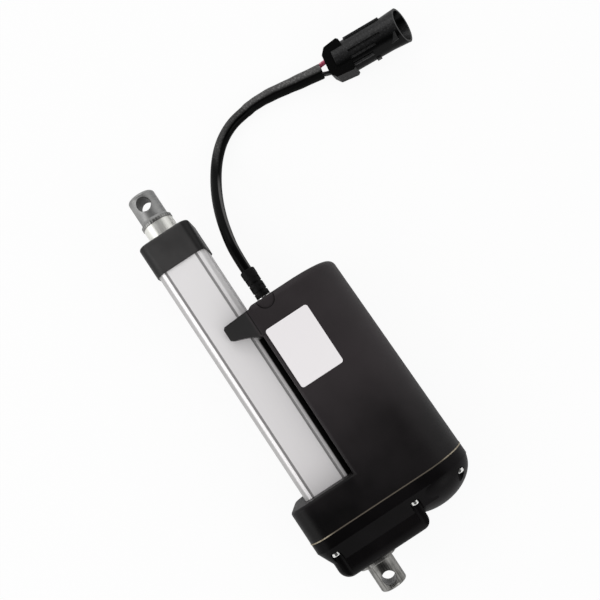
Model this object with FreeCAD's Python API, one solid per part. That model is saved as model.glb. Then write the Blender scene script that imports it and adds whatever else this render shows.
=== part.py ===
import FreeCAD, Part
import math
import os

os.makedirs("parts", exist_ok=True)
V = FreeCAD.Vector
X_DIR = V(1, 0, 0)
Z_DIR = V(0, 0, 1)

# A parallel-drive linear actuator, retracted.  X runs along the screw from the rear pin,
# which is the origin, to the rod pin.  Both pins lie along Z.  The motor lies at -Y.

# --- Driving dimensions (mm) -------------------------------------------------------------
stroke = 150.0

pin_hole_radius = 5.1
eye_step = 1.2                  # how much slimmer the eyes are than the extension tube
eye_overhang = 8.4              # from a pin's centre to the tip of its eye
eye_edge_round = 2.2
pin_chamfer = 0.7

flange_radius = 15.2            # of the rear eye
flange_thickness = 4.4
flange_seat = 0.9               # how far the flange is let into the pod
flange_chamfer = 0.6
eye_shank_radius = 7.0
eye_nut_radius = 11.0
eye_nut_thickness = 2.6
eye_nut_air = 0.8
pod_wall = 3.3                  # between the flange and the nut

seam = 50.9                     # middle of the joint between the two castings
gasket_thickness = 0.8
gasket_lip = 0.25
case_half = 33.5                # half the height of the castings
case_round_centre = -59.2       # centre of the round side, at the seam
case_draft = 0.028              # how the round side leans in, per mm of length
wall = 3.2

gearbox_side = 12.2             # how far the gearbox stands out past the tube
gearbox_corner = 14.0
gearbox_end = 76.5
gearbox_edge_round = 2.5
cover_gap = 1.2                 # between the tube and the motor cover
cover_corner = 2.5
cover_end = 207.7
cover_edge_round = 5.5

rim_start = 42.7                # rear cover: its full section begins here
pod_rear = 16.7
pod_step = 5.4                  # from the gearbox's left side to the pod's
pod_drop = 5.9                  # from its top to the pod's
pod_right = -46.0
pod_round = 8.5
step_x = 31.0                   # the shoulder ends here
dome_rear = 21.3
dome_centre = 45.3

motor_y = -57.5
motor_can_radius = 27.0
motor_can_wall = 2.0
motor_can_length = 112.0
motor_gap = 0.3                 # between the can and its seats in the cover
motor_room = 1.3                # and round it in the gearbox
motor_rib_length = 10.0
brush_plate_thickness = 5.0
motor_shaft_radius = 3.0
armature_radius = 18.0
armature_rear = 20.0            # from the can's bottom to the core
armature_slot_count = 8
armature_slot_depth = 6.0
armature_slot_width = 3.2
winding_length = 8.0
winding_step = 3.0              # the rolls are this much slimmer than the core
magnet_thickness = 6.0
magnet_overlap = 4.0            # the magnets are longer than the core by this at each end
magnet_gap = 16.0
commutator_radius = 9.0
commutator_length = 14.0
commutator_gap = 1.0
commutator_front = 11.0         # from the commutator to the can's front end
brush_width = 6.0
brush_height = 9.0
brush_air = 0.3
brush_setback = 3.0
bush_radius = 7.0
bush_length = 5.5

tube_half = 18.8
tube_corner = 7.0
tube_wall = 3.2
tube_start = 64.0
groove_inset = 6.5              # from the tube's side to the middle of its groove
groove_width = 1.8
groove_depth = 1.0
socket_gap = 0.15

cap_skirt = 10.5                # how far the cap reaches back over the tube
cap_nose = 13.4                 # and forward of it
cap_wall = 1.1
cap_edge_round = 1.8
cap_screw_inset = 3.6           # from the tube's sides to its corner screws
cap_screw_radius = 1.3
cap_screw_length = 22.0
cap_screw_spare = 2.0           # how much deeper their holes are
cap_head_radius = 2.4
cap_head_height = 1.8
cap_head_sink = 0.2
cap_head_air = 0.1

extension_wall = 2.2
rod_show = 11.4                 # bare rod between the cap and the ring, retracted
rod_eye_reach = 12.4            # from the ring to the rod pin
rod_eye_taper = 1.8
ring_length = 2.4
ring_lip = 0.4                  # the ring stands out past the extension tube
spigot_length = 12.0
sliding_gap = 0.3
guide_seat = 1.0                # the guide is this much slimmer than the tube's bore
guide_wall = 3.0
guide_length = 14.0
guide_overlap = 4.5             # how much of the guide lies inside the tube
seal_stand = 0.9                # the wiper stands proud of the cap
seal_slope = 1.2

screw_play = 1.6                # between the screw and the extension tube's bore
screw_overrun = 18.0            # of the screw past the nut, extended
screw_mouth = 1.5               # room round it where it leaves the gearbox
journal_step = 1.5              # the screw's ends are this much slimmer
tip_guide_length = 6.0
tip_margin = 1.0
nut_seat = 6.0                  # how deep the extension tube sits in the nut
stop_air = 2.5                  # between the nut's ring and the guide, extended
nut_start = 84.0
nut_length = 26.0
nut_play = 0.6                  # between the nut and the tube's bore
nut_ring_length = 3.0
nut_ring_step = 1.0

bearing_start = 27.6
bearing_width = 10.0
bearing_radius = 16.0
bearing_ball_radius = 2.8
bearing_ball_play = 0.1
bearing_ball_count = 9
bearing_inner_wall = 3.4
bearing_outer_wall = 2.4
bearing_track_shift = 0.5
bearing_room = 3.0              # behind the bearing, for the lock nut
lock_nut_length = 2.2
lock_nut_wall = 3.0
journal_stub = 0.8

gear_start = 40.0
gear_width = 10.0
wheel_start = 52.7
wheel_width = 8.0
output_teeth = 42
idler_pinion_teeth = 16
slow_module = 1.25
idler_wheel_teeth = 36
motor_pinion_teeth = 12
fast_module = 1.0
hub_length = 2.0                # of the output gear past its teeth
hub_radius = 10.5
web_depth = 2.5
web_radii = (11.0, 21.0)
web_hole_radius = 3.6
web_hole_circle = 16.0
web_hole_count = 6
idler_hub_radius = 7.6
idler_reach = 0.5               # the pinions are longer than their wheels by this
idler_air = 0.4
motor_pinion_reach = 0.3
pressure_angle = math.radians(20.0)
backlash = 0.12                 # taken off each flank
gear_air = 1.4                  # room round the tooth tips
idler_shaft_radius = 3.0
running_gap = 0.12
plate_thickness = 3.0
plate_start = 61.7
plate_air = 0.1
plate_screw_circle = 20.0
plate_screw_spread = 100        # degrees between its screws, opposite the idler
plate_head_height = 1.6

screw_head_radius = 2.9
screw_head_height = 2.6
screw_shank_radius = 1.5
screw_shank_length = 19.0
screw_seat = 38.6               # where the heads bear
screw_pocket_air = 0.9
screw_head_round = 0.8
hex_radius = 1.4
hex_depth = 1.5
left_screw = (11.6, 5.0)        # in from the gearbox's left side, and down from its top
pod_screw = (15.7, 4.1)         # from the round side's centre to the tube, and down
dome_screw = (21.4, 12.1)       # the other way, and down

arm_front = 205.6
arm_tip_rear = 194.2
arm_root_rear = 185.6
arm_tip_y = 0.4
arm_tip_height = 4.6
arm_slope_foot = -14.0
arm_tip_corner = 1.5
arm_tip_side = 2.0              # straight part of the tip's rear side
arm_hollow = 0.2                # how hollow the rear side is
arm_crown = 3.0                 # its slope ends this far below the cover's top
arm_slope_rounds = (6.0, 4.0)   # at the slope's foot, and at the cover

label_x = (142.2, 187.8)
label_width = 32.8
label_margin = 3.0              # from the cover's left side
label_corner = 2.0
label_thickness = 0.25

gland_inset = 14.8              # from the cover's left side
gland_drop = 9.5                # from its top
gland_radius = 4.7
gland_end = 229.4
gland_rib_count = 4
gland_rib_width = 1.7
gland_rib_depth = 0.7
gland_collar_radius = 5.2       # the strain relief ends in a plain collar
gland_collar_length = 5.5
gland_flange_radius = 6.0
gland_flange_thickness = 2.0
gland_edge_round = 0.5
gland_pad_radius = 6.3
gland_pad_depth = 1.2
gland_pad_setback = 2.2         # the pad's middle is this far behind the cover's end
front_wall_extra = 2.5          # the cover's end wall is thicker by this

cable_radius = 3.8
sleeve_radius = 5.0
wire_radius = 1.5
wire_spread = 4.2               # each wire's distance from the middle of the connector
wire_gather = 2.4               # and from the middle of the sleeve

strip_width = 4.4
strip_thickness = 1.2
strip_start = 80.0
strip_margin = 8.0              # from the strip to the tube's front end
channel_width = 5.2
channel_depth = 3.9
switch_length = 9.0
switch_height = 2.2

connector_rear = (329.2, -165.9)        # middle of its rear end, in plan
connector_turn = 261.7          # degrees from +X, the way the mouth faces
connector_pitch = 15.0          # degrees, how far its mouth stands up off the ground
connector_length = 63.8
connector_half_width = 12.3     # its section is an ellipse
connector_half_height = 10.0
connector_start = 7.0           # the shell starts here, inside the lock
mouth_start = 48.0              # the shroud flares from here
mouth_half_width = 13.5
mouth_floor = 41.0
mouth_wall = 1.6
mouth_slant = 8.0               # how far the upper lip is cut back
mould_groove_depth = 1.5
mould_grooves = [(44.0, -0.8, 0.8), (38.0, -5.8, -3.8)]     # end, side, side
rail_ends = (34.3, 46.9)        # of the low rail at -Y and the long one at +Y
rail_sides = [(-10.6, -9.3), (10.2, 11.7)]
rail_heights = [(3.0, 8.0), (1.0, 6.4)]
side_lug = (34.3, 37.8)
side_lug_reach = 13.2
side_lug_half = 2.2
ramp_start = 47.0
ramp_top = 54.0
ramp_end = 55.2
ramp_sides = (-10.2, -4.4)
ramp_heights = (5.0, 10.6)
lock_length = 17.0
lock_half_width = 13.2
lock_step = 1.4                 # the lock is lower than the shell by this
lock_hook = 1.6
lock_short = 3.0                # its hook at +Y ends this much sooner
lock_rear_half = 7.2
lock_shoulder = (3.6, 11.8)     # along the lock, and to its side
lock_foot = 11.9                # half its width in front of the hooks
lock_corner = 1.5
lock_hook_corner = 0.5
seal_radius = 2.7
seal_start = 0.6
seal_depth = 2.0
seal_bore_depth = 12.0
terminal_length = 8.0
terminal_width = 3.2
terminal_thickness = 0.8
terminal_slot = 1.0
wire_gaps = (1.1, 0.9)          # from the sleeve, and from the seal

# --- The cable's route, from the strain relief to the end of its sleeve ------------------
rest_gap = 0.05                 # under the sleeve and the connector
cable_drop = [(243.5, -34.8, 24.0), (257.5, -36.8, 19.5),
              (272.5, -39.9, 9.5), (289.0, -45.0, -3.5), (304.5, -51.9, -16.0),
              (318.0, -60.3, -24.8), (328.6, -71.0, -28.1)]
cable_lying = [(335.1, -84.2), (337.0, -97.0)]
sleeve_lying = [(337.0, -97.0), (338.1, -104.5), (337.6, -118.0), (335.4, -131.5)]
sleeve_rise = [(332.9, -144.8, -27.4), (330.1, -158.4, -25.0)]

# --- Derived values ----------------------------------------------------------------------
floor_z = -case_half
tube_bore_radius = tube_half - tube_wall
guide_radius = tube_bore_radius - guide_seat
extension_radius = guide_radius - guide_wall - sliding_gap
extension_bore_radius = extension_radius - extension_wall
ring_radius = extension_radius + ring_lip
eye_radius = extension_radius - eye_step
screw_radius = extension_bore_radius - screw_play
journal_radius = screw_radius - journal_step
nut_radius = tube_bore_radius - nut_play
groove_offset = tube_half - groove_inset
cap_half = tube_half + cap_wall
cap_corner = tube_corner + cap_wall / 2
cap_screw_offset = tube_half - cap_screw_inset
gearbox_left = tube_half + gearbox_side
cover_left = -tube_half - cover_gap
pod_left = gearbox_left - pod_step
pod_half = case_half - pod_drop
gland_y = cover_left - gland_inset
gland_z = case_half - gland_drop
label_y = (cover_left - label_margin - label_width, cover_left - label_margin)
cover_screw_places = [(gearbox_left - left_screw[0], case_half - left_screw[1]),
                      (case_round_centre + pod_screw[0], case_half - pod_screw[1]),
                      (case_round_centre - dome_screw[0], case_half - dome_screw[1])]
cover_front = seam - gasket_thickness / 2
housing_rear = seam + gasket_thickness / 2
flange_end = pod_rear + flange_seat
flange_start = flange_end - flange_thickness
pod_wall_end = flange_end + pod_wall
slow_centre = slow_module * (output_teeth + idler_pinion_teeth) / 2
fast_centre = fast_module * (idler_wheel_teeth + motor_pinion_teeth) / 2
idler_angle = math.acos((slow_centre ** 2 + motor_y ** 2 - fast_centre ** 2)
                        / (2 * slow_centre * abs(motor_y)))
idler_y = -slow_centre * math.cos(idler_angle)
idler_z = slow_centre * math.sin(idler_angle)
can_start = plate_start + plate_thickness
can_end = can_start + motor_can_length
core_start = can_start + armature_rear
commutator_start = can_end - commutator_front - commutator_length
core_end = commutator_start - commutator_gap - winding_length
front_wall_start = cover_end - wall - front_wall_extra
nut_end = nut_start + nut_length
screw_tip = nut_end + stroke + screw_overrun
guide_start = nut_end + nut_ring_length + stroke + stop_air
tube_end = guide_start + guide_overlap
cap_start = tube_end - cap_skirt
cap_end = tube_end + cap_nose
ring_start = cap_end + rod_show
eye_root = ring_start + ring_length
rod_pin_x = eye_root + rod_eye_reach
strip_end = tube_end - strip_margin
beyond = 250.0                  # reaches past the whole section
over = 1.0                      # cutting bodies reach past what they cut
bond = 0.5                      # bodies of one piece reach into each other
print("rear pin to rod pin %.1f retracted, %.1f extended" % (rod_pin_x, rod_pin_x + stroke))


# --- Building helpers --------------------------------------------------------------------
def save(name, *solids):
    shape = solids[0] if len(solids) == 1 else Part.makeCompound(list(solids))
    shape.exportStep("parts/%s.step" % name)


def rod_x(start, end, radius, y=0.0, z=0.0):
    return Part.makeCylinder(radius, end - start, V(start, y, z), X_DIR)


def ring_x(start, end, outer, inner, y=0.0, z=0.0):
    return rod_x(start, end, outer, y, z).cut(rod_x(start - over, end + over, inner, y, z))


def block(x_range, y_range, z_range):
    size = [high - low for low, high in (x_range, y_range, z_range)]
    return Part.makeBox(*size, V(x_range[0], y_range[0], z_range[0]))


def mirrored_z(shape):
    return shape.mirror(V(0, 0, 0), Z_DIR)


def rounded_wire(corners, place):
    """A closed outline of straight sides; each corner is (a, b, radius), place gives its point."""
    edges = []
    joints = []
    count = len(corners)
    for i, (a, b, radius) in enumerate(corners):
        corner = V(a, b, 0)
        before = V(*corners[i - 1][:2], 0) - corner
        after = V(*corners[(i + 1) % count][:2], 0) - corner
        before.normalize()
        after.normalize()
        half = before.getAngle(after) / 2
        reach = radius / math.tan(half)
        middle = before + after
        middle.normalize()
        nearest = corner + middle * (radius / math.sin(half) - radius)
        joints.append((corner + before * reach, nearest, corner + after * reach, radius))
    for i, (start, nearest, end, radius) in enumerate(joints):
        if radius > 0:
            edges.append(Part.Arc(place(start), place(nearest), place(end)).toShape())
        following = joints[(i + 1) % count][0]
        if end.distanceToPoint(following) > 1e-6:
            edges.append(Part.makeLine(place(end), place(following)))
    return Part.Wire(edges)


def at_x(x):
    return lambda p: V(x, p.x, p.y)


def at_z(z):
    return lambda p: V(p.x, p.y, z)


def prism(wire, along):
    return Part.Face(wire).extrude(along)


def square_bar(start, end, half, corner):
    corners = [(-half, -half, corner), (half, -half, corner),
               (half, half, corner), (-half, half, corner)]
    return prism(rounded_wire(corners, at_x(start)), V(end - start, 0, 0))


def case_body(start, end, left, corner, inset=0.0):
    """The castings' form between two stations. The round side leans in towards the front,
    so it is drawn out on a slant, and the square side straight."""
    half = case_half - inset
    far = left - inset
    radius = max(corner - inset, 0.5)
    middle = case_round_centre + case_draft * (start - seam)
    lap = case_half / 2
    outline = [V(start, y, z) for y, z in ((middle + lap, -half), (middle, -half), (middle - half, 0),
                                           (middle, half), (middle + lap, half))]
    round_side = Part.Wire([Part.makeLine(outline[4], outline[0]),
                            Part.makeLine(outline[0], outline[1]),
                            Part.Arc(*outline[1:4]).toShape(),
                            Part.makeLine(outline[3], outline[4])])
    corners = [(middle + lap / 2, -half, 0), (far, -half, radius), (far, half, radius),
               (middle + lap / 2, half, 0)]
    square_side = rounded_wire(corners, at_x(start))
    slant = V(end - start, case_draft * (end - start), 0)
    straight = V(end - start, 0, 0)
    return prism(round_side, slant).fuse(prism(square_side, straight)).removeSplitter()


def edges_at_x(shape, x, keep=lambda edge: True):
    found = []
    for edge in shape.Edges:
        if all(abs(vertex.X - x) < 1e-4 for vertex in edge.Vertexes) and keep(edge):
            found.append(edge)
    return found


def profile_revolved(points, y=0.0, z=0.0):
    """A turned piece: points are (x, radius), closed along the axis."""
    wire = Part.makePolygon([V(x, y + r, z) for x, r in points + points[:1]])
    return Part.Face(wire).revolve(V(0, y, z), X_DIR, 360)


# --- Gears -------------------------------------------------------------------------------
def involute_point(base, radius, offset, side):
    """A point of the flank at this radius; offset is the half angle of the tooth at the base."""
    roll = math.sqrt(max((radius / base) ** 2 - 1, 0.0))
    angle = side * (offset - (roll - math.atan(roll)))
    return radius * math.cos(angle), radius * math.sin(angle)


def gear(module, teeth, start, width, turn):
    """A spur gear about X with involute flanks; turn is the angle of its first tooth."""
    pitch = module * teeth / 2
    base = pitch * math.cos(pressure_angle)
    tip = pitch + module
    root = pitch - 1.25 * module
    involute = math.tan(pressure_angle) - pressure_angle
    offset = math.pi / (2 * teeth) - backlash / pitch + involute
    foot = max(root, base)
    radii = [foot, (foot + tip) / 2, tip]
    edges = []
    last = None
    first = None
    for tooth in range(teeth):
        swing = turn + 2 * math.pi * tooth / teeth

        def turned(point):
            a, b = point
            return V(start, a * math.cos(swing) - b * math.sin(swing),
                     a * math.sin(swing) + b * math.cos(swing))

        rise = [turned(involute_point(base, r, offset, -1)) for r in radii]
        fall = [turned(involute_point(base, r, offset, 1)) for r in reversed(radii)]
        foot_angle = offset - (math.tan(math.acos(base / foot)) - math.acos(base / foot))
        low = [turned((root * math.cos(side * foot_angle), root * math.sin(side * foot_angle)))
               for side in (-1, 1)]
        if last is None:
            first = low[0]
        else:
            edges.append(Part.makeLine(last, low[0]))
        if low[0].distanceToPoint(rise[0]) > 1e-6:
            edges.append(Part.makeLine(low[0], rise[0]))
        edges.append(Part.Arc(*rise).toShape())
        edges.append(Part.makeLine(rise[2], fall[0]))
        edges.append(Part.Arc(*fall).toShape())
        if low[1].distanceToPoint(fall[2]) > 1e-6:
            edges.append(Part.makeLine(fall[2], low[1]))
        last = low[1]
    edges.append(Part.makeLine(last, first))
    return prism(Part.Wire(edges), V(width, 0, 0))


# --- Rear end ----------------------------------------------------------------------------
def pin_eye(tip, root):
    """A round bar with a domed tip; root is where it meets its flange or ring."""
    outward = 1 if tip > root else -1
    bar = rod_x(min(tip, root), max(tip, root), eye_radius)
    bar = bar.makeFillet(eye_edge_round, edges_at_x(bar, tip))
    hole_x = tip - outward * eye_overhang
    hole = Part.makeCylinder(pin_hole_radius, 4 * eye_radius, V(hole_x, 0, -2 * eye_radius), Z_DIR)
    for side in (-1, 1):
        mouth = Part.makeCone(pin_hole_radius, pin_hole_radius + 2 * pin_chamfer, 2 * pin_chamfer,
                              V(hole_x, 0, side * (eye_radius - pin_chamfer)), Z_DIR * side)
        hole = hole.fuse(mouth)
    return bar.cut(hole)


def make_rear_eye():
    eye = pin_eye(-eye_overhang, flange_start + bond)
    flange = rod_x(flange_start, flange_end, flange_radius)
    flange = flange.makeChamfer(flange_chamfer, edges_at_x(flange, flange_start))
    shank = rod_x(flange_end - bond, pod_wall_end + eye_nut_thickness, eye_shank_radius)
    save("rear_eye", eye.fuse([flange, shank]).removeSplitter())

    corners = [(eye_nut_radius * math.cos(a), eye_nut_radius * math.sin(a), 0)
               for a in [math.radians(60 * k) for k in range(6)]]
    nut = prism(rounded_wire(corners, at_x(pod_wall_end)), V(eye_nut_thickness, 0, 0))
    save("rear_eye_nut", nut.cut(rod_x(0, seam, eye_shank_radius)))


def gear_cavity(start, end):
    """Room for the gears: a circle about each axis, bridged between the screw and the idler."""
    slow = rod_x(start, end, slow_module * (output_teeth + 2) / 2 + gear_air)
    idler = rod_x(start, end, fast_module * (idler_wheel_teeth + 2) / 2 + gear_air,
                  idler_y, idler_z)
    motor = rod_x(start, end, motor_can_radius + motor_room, motor_y)
    return slow.fuse([idler, motor])


def screw_points():
    return [(y, side * z) for y, z in cover_screw_places for side in (1, -1)]


def make_rear_cover():
    rim = case_body(rim_start, cover_front, gearbox_left, gearbox_corner)
    shrink = gearbox_left - pod_left
    left_corners = [(case_round_centre, -case_half, 0), (gearbox_left, -case_half, gearbox_corner),
                    (gearbox_left, case_half, gearbox_corner), (case_round_centre, case_half, 0)]
    small_corners = [(case_round_centre, -pod_half, 0), (pod_left, -pod_half, gearbox_corner - shrink),
                     (pod_left, pod_half, gearbox_corner - shrink), (case_round_centre, pod_half, 0)]
    shoulder = Part.makeLoft([rounded_wire(left_corners, at_x(rim_start)),
                              rounded_wire(small_corners, at_x(step_x))], True, True)
    pod = block((pod_rear, rim_start), (pod_right, pod_left), (-pod_half, pod_half))
    pod = pod.makeFillet(pod_round, [e for e in pod.Edges
                                     if e.BoundBox.XMin < rim_start - 1e-4
                                     and not (e.BoundBox.XLength > 1 and e.BoundBox.YMax < 0)])
    body = rim.fuse([shoulder, pod, make_dome(0.0)])

    body = body.cut(gear_cavity(gear_start - gear_air, seam))
    body = body.cut(make_dome(wall).common(
        block((0, seam), (-beyond, pod_right - wall), (-beyond, beyond))))
    body = body.cut(rod_x(bearing_start - bearing_room, seam, bearing_radius))
    body = body.cut(rod_x(pod_wall_end, bearing_start, eye_nut_radius + eye_nut_air))
    body = body.cut(rod_x(0, bearing_start, eye_shank_radius))
    body = body.cut(rod_x(0, flange_end, flange_radius))
    body = body.cut(rod_x(bearing_start, seam, idler_shaft_radius, idler_y, idler_z))
    for y, z in screw_points():
        body = body.cut(rod_x(0, screw_seat, screw_head_radius + screw_pocket_air, y, z))
        body = body.cut(rod_x(0, seam, screw_shank_radius, y, z))
    save("rear_cover", body.removeSplitter())


def make_dome(inset):
    depth = dome_centre - dome_rear - inset
    radius = case_half - inset
    ball = Part.makeSphere(radius, V(0, 0, 0))
    squeeze = FreeCAD.Matrix()
    squeeze.scale(depth / radius, 1, 1)
    oval = ball.transformGeometry(squeeze)
    oval.translate(V(dome_centre, case_round_centre, 0))
    return oval.common(block((0, dome_centre), (-beyond, beyond), (-beyond, beyond)))


def make_gasket():
    outer = case_body(cover_front, housing_rear, gearbox_left, gearbox_corner, -gasket_lip)
    outer = outer.common(block((0, gearbox_end), (-beyond, beyond), (-case_half, case_half)))
    outer = outer.cut(gear_cavity(cover_front - over, housing_rear + over))
    for y, z in screw_points():
        outer = outer.cut(rod_x(0, gearbox_end, screw_shank_radius, y, z))
    save("housing_gasket", outer)


def make_cover_screws():
    screws = []
    for y, z in screw_points():
        head = rod_x(screw_seat - screw_head_height, screw_seat, screw_head_radius, y, z)
        head = head.makeFillet(screw_head_round, edges_at_x(head, screw_seat - screw_head_height))
        slot = prism(rounded_wire([(y + hex_radius * math.cos(math.radians(60 * k)),
                                    z + hex_radius * math.sin(math.radians(60 * k)), 0)
                                   for k in range(6)], at_x(screw_seat - screw_head_height)),
                     V(hex_depth, 0, 0))
        shank = rod_x(screw_seat, screw_seat + screw_shank_length, screw_shank_radius, y, z)
        screws.append(head.cut(slot).fuse(shank))
    save("cover_screws", *screws)


# --- Front housing -----------------------------------------------------------------------
def saddle_arm():
    """The arm that holds the tube down: a plan outline, thinned towards its tip."""
    root_y = cover_left - wall
    foot_round, crown_round = arm_slope_rounds
    bend_start = arm_tip_y - arm_tip_side
    middle_x = (arm_tip_rear * 2 + arm_root_rear) / 3 - arm_hollow
    bend = Part.Arc(V(arm_tip_rear, bend_start, 0), V(middle_x, (arm_tip_y + cover_left) / 2, 0),
                    V(arm_root_rear, cover_left, 0)).toShape()
    corner = arm_tip_corner
    ends = [V(arm_root_rear, cover_left, 0), V(arm_root_rear, root_y, 0), V(arm_front, root_y, 0),
            V(arm_front, arm_tip_y - corner, 0)]
    sides = [Part.makeLine(a, b) for a, b in zip(ends, ends[1:])]
    tip = [Part.makeLine(ends[-1], V(arm_front - corner, arm_tip_y, 0)),
           Part.makeLine(V(arm_front - corner, arm_tip_y, 0), V(arm_tip_rear + corner, arm_tip_y, 0)),
           Part.makeLine(V(arm_tip_rear + corner, arm_tip_y, 0), V(arm_tip_rear, bend_start, 0))]
    plan = prism(Part.Wire([bend] + sides + tip), V(0, 0, case_half))
    seat = tube_half + socket_gap
    tip_y = arm_tip_y + over
    slope = [(root_y, seat, 0), (tip_y, seat, 0), (tip_y, seat + arm_tip_height, 0),
             (arm_slope_foot, case_half - arm_crown, foot_round), (cover_left, case_half, crown_round),
             (root_y, case_half, 0)]
    side = prism(rounded_wire(slope, at_x(arm_root_rear - over)),
                 V(arm_front - arm_root_rear + 2 * over, 0, 0))
    return plan.common(side)


def make_front_housing():
    gearbox = case_body(housing_rear, gearbox_end, gearbox_left, gearbox_corner)
    gearbox = gearbox.makeFillet(gearbox_edge_round, edges_at_x(
        gearbox, gearbox_end, lambda e: e.BoundBox.YMax > cover_left))
    cover = case_body(housing_rear, cover_end, cover_left, cover_corner)
    cover = cover.makeFillet(cover_edge_round, edges_at_x(
        cover, cover_end, lambda e: e.BoundBox.YMin < cover_left - cover_corner - 0.1))
    arm = saddle_arm()
    body = gearbox.fuse([cover, arm, mirrored_z(arm)])

    rib_start = can_end - motor_rib_length
    body = body.cut(case_body(can_start + wall, rib_start, cover_left, cover_corner, wall))
    body = body.cut(case_body(can_end, front_wall_start, cover_left, cover_corner, wall))
    body = body.cut(rod_x(can_start, can_end + over, motor_can_radius + motor_gap, motor_y))
    body = body.cut(gear_cavity(seam, plate_start))
    body = body.cut(rod_x(seam, can_start, motor_can_radius + motor_room, motor_y))
    body = body.cut(square_bar(tube_start, gearbox_end + over, tube_half + socket_gap, tube_corner))
    body = body.cut(rod_x(seam, tube_start + over, screw_radius + screw_mouth))
    body = body.cut(rod_x(front_wall_start - over, cover_end + over, gland_radius, gland_y, gland_z))
    body = body.cut(Part.makeCylinder(gland_pad_radius, gland_pad_depth + over, V(
        cover_end - gland_pad_setback, gland_y, case_half - gland_pad_depth), Z_DIR))
    for y, z in screw_points():
        body = body.cut(rod_x(seam, screw_seat + screw_shank_length, screw_shank_radius, y, z))
    save("front_housing", body.removeSplitter())


def make_label():
    corners = [(label_x[0], label_y[0], label_corner), (label_x[1], label_y[0], label_corner),
               (label_x[1], label_y[1], label_corner), (label_x[0], label_y[1], label_corner)]
    save("rating_label", prism(rounded_wire(corners, at_z(case_half)), V(0, 0, label_thickness)))


# --- Tube and front cap ------------------------------------------------------------------
def make_outer_tube():
    tube = square_bar(tube_start, tube_end, tube_half, tube_corner)
    length = (tube_start - over, tube_end + over)
    tube = tube.cut(rod_x(*length, tube_bore_radius))
    half_width = groove_width / 2
    for offset in (-groove_offset, groove_offset):
        across = (offset - half_width, offset + half_width)
        for side in (-1, 1):
            depth = sorted((side * (tube_half - groove_depth), side * (tube_half + over)))
            tube = tube.cut(block(length, across, depth))
            tube = tube.cut(block(length, depth, across))
    tube = tube.cut(switch_channel(length[0], length[1]))
    for y in (-cap_screw_offset, cap_screw_offset):
        for z in (-cap_screw_offset, cap_screw_offset):
            tube = tube.cut(rod_x(cap_end - cap_screw_length - cap_screw_spare, tube_end + over,
                                  cap_screw_radius, y, z))
    save("outer_tube", tube)


def corner_block(start, end, inner, outer, width):
    """A bar in the tube's left upper corner, between two distances from the axis."""
    bar = block((start, end), (inner, outer), (-width / 2, width / 2))
    bar.rotate(V(0, 0, 0), X_DIR, 45)
    return bar


def switch_channel(start, end):
    return corner_block(start, end, tube_bore_radius - over, tube_bore_radius + channel_depth,
                        channel_width)


def make_switches():
    outer = tube_bore_radius + channel_depth
    inner = outer - strip_thickness
    save("limit_switch_strip", corner_block(strip_start, strip_end, inner, outer, strip_width))
    lower = inner - switch_height
    stops = [(strip_start, strip_start + switch_length), (strip_end - switch_length, strip_end)]
    save("limit_switches", *[corner_block(a, b, lower, inner, strip_width) for a, b in stops])


def make_front_cap():
    cap = square_bar(cap_start, cap_end, cap_half, cap_corner)
    cap = cap.makeFillet(cap_edge_round, edges_at_x(cap, cap_end))
    cap = cap.cut(square_bar(cap_start - over, tube_end, tube_half + socket_gap, tube_corner))
    cap = cap.cut(rod_x(tube_end - over, cap_end + over, guide_radius))
    screws = []
    for y in (-cap_screw_offset, cap_screw_offset):
        for z in (-cap_screw_offset, cap_screw_offset):
            top = cap_end - cap_head_sink
            seat = top - cap_head_height
            cap = cap.cut(rod_x(seat, cap_end + over, cap_head_radius + cap_head_air, y, z))
            cap = cap.cut(rod_x(tube_end - over, cap_end, cap_screw_radius, y, z))
            head = rod_x(seat, top, cap_head_radius, y, z)
            head = head.fuse(rod_x(cap_end - cap_screw_length, top - bond, cap_screw_radius, y, z))
            screws.append(head)
    save("front_cap", cap)
    save("front_cap_screws", *screws)
    guide_end = guide_start + guide_length
    save("rod_guide_bush", ring_x(guide_start, guide_end, guide_radius,
                                  extension_radius + sliding_gap))
    lip = profile_revolved([(guide_end, guide_radius), (cap_end, guide_radius),
                            (cap_end + seal_stand, guide_radius - seal_slope),
                            (cap_end + seal_stand, extension_radius + sliding_gap),
                            (guide_end, extension_radius + sliding_gap)])
    save("rod_wiper_seal", lip)


# --- Rod ---------------------------------------------------------------------------------
def make_rod():
    tube_seat = nut_end - nut_seat
    save("extension_tube", ring_x(tube_seat, ring_start, extension_radius, extension_bore_radius))
    eye = pin_eye(rod_pin_x + eye_overhang, eye_root)
    taper_end = eye_root + rod_eye_taper
    taper = profile_revolved([(eye_root, 0), (eye_root, extension_radius), (taper_end, eye_radius),
                              (taper_end, 0)])
    spigot = rod_x(ring_start - spigot_length, eye_root + bond, extension_bore_radius)
    save("rod_eye", eye.fuse([taper, spigot]).removeSplitter())
    save("rod_ring", ring_x(ring_start, eye_root, ring_radius, extension_bore_radius))
    body = ring_x(nut_start, nut_end, nut_radius, screw_radius + sliding_gap)
    save("drive_nut", body.cut(rod_x(tube_seat, nut_end + over, extension_radius)))
    save("nut_retaining_ring", ring_x(nut_end, nut_end + nut_ring_length,
                                      nut_radius - nut_ring_step, extension_radius))


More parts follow.
